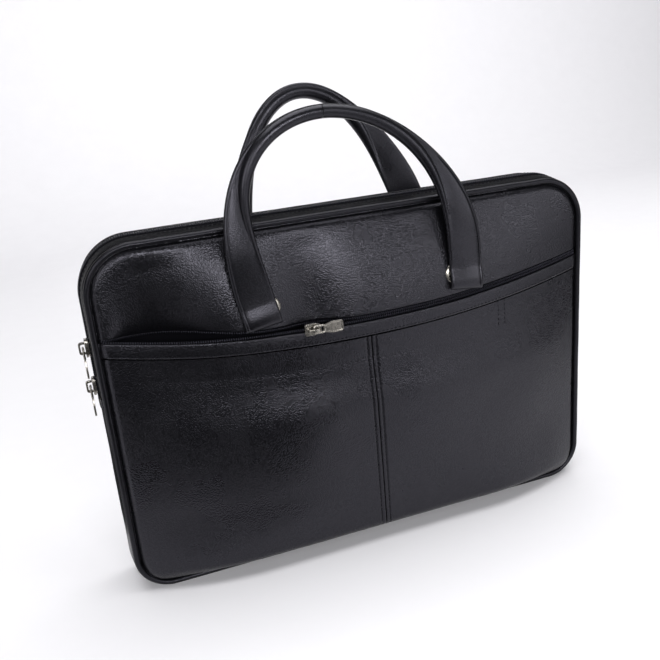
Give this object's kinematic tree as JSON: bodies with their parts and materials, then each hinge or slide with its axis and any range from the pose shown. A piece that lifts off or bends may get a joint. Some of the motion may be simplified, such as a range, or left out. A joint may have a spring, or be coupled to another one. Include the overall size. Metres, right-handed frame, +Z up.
{
  "type": "office bag",
  "caption": "Slim leather office bag for a laptop and papers, with rolled handles, a zip round its top and a zipped front pocket that gapes at one end.",
  "frame": {"origin": "on the surface that the bag stands on, under the middle of its width and of its gusset", "axes": "+X along the bag to the right as seen from its front, +Y from the front with the pocket to the back, +Z up"},
  "size_m": [0.4195, 0.089, 0.3687],
  "materials": {
    "leather_body": "black pebbled leather with a soft satin finish",
    "leather_strap": "black smooth strap leather, satin",
    "zip_tape": "black woven zip tape with a nylon coil",
    "pocket_lining": "black plain woven lining",
    "nickel": "polished nickel plate"
  },
  "bodies": {
    "bag": {"gusset": "leather_body", "zip_facing_front": "leather_body", "zip_facing_back": "leather_body", "main_zip": "zip_tape", "piping_front": "leather_body", "piping_back": "leather_body", "back_panel": "leather_body", "upper_panel": "leather_body", "pocket_left": "leather_body", "pocket_right": "leather_body", "pocket_back": "pocket_lining", "pocket_band": "leather_body", "pocket_zip_upper": "zip_tape", "pocket_zip_lower": "zip_tape", "upper_slider": "nickel", "lower_slider": "nickel", "pocket_slider": "nickel", "handle_front": "leather_strap", "handle_back": "leather_strap", "stud_left": "nickel", "stud_right": "nickel"},
    "upper_pull": {"upper_pull": "nickel"},
    "lower_pull": {"lower_pull": "nickel"},
    "pocket_pull": {"pocket_pull": "nickel"}
  },
  "joints": [
    {"name": "upper_pull_swing", "type": "hinge", "parent": "bag", "child": "upper_pull", "pos_m": [-0.2101, 0, 0.202], "axis": [0, 1, 0], "range_deg": [-5, 165]},
    {"name": "lower_pull_swing", "type": "hinge", "parent": "bag", "child": "lower_pull", "pos_m": [-0.2101, 0, 0.172], "axis": [0, 1, 0], "range_deg": [-5, 165]},
    {"name": "pocket_pull_swing", "type": "hinge", "parent": "bag", "child": "pocket_pull", "pos_m": [-0.047, -0.04305, 0.1962], "axis": [0, 0, -1], "range_deg": [-5, 165]}
  ]
}
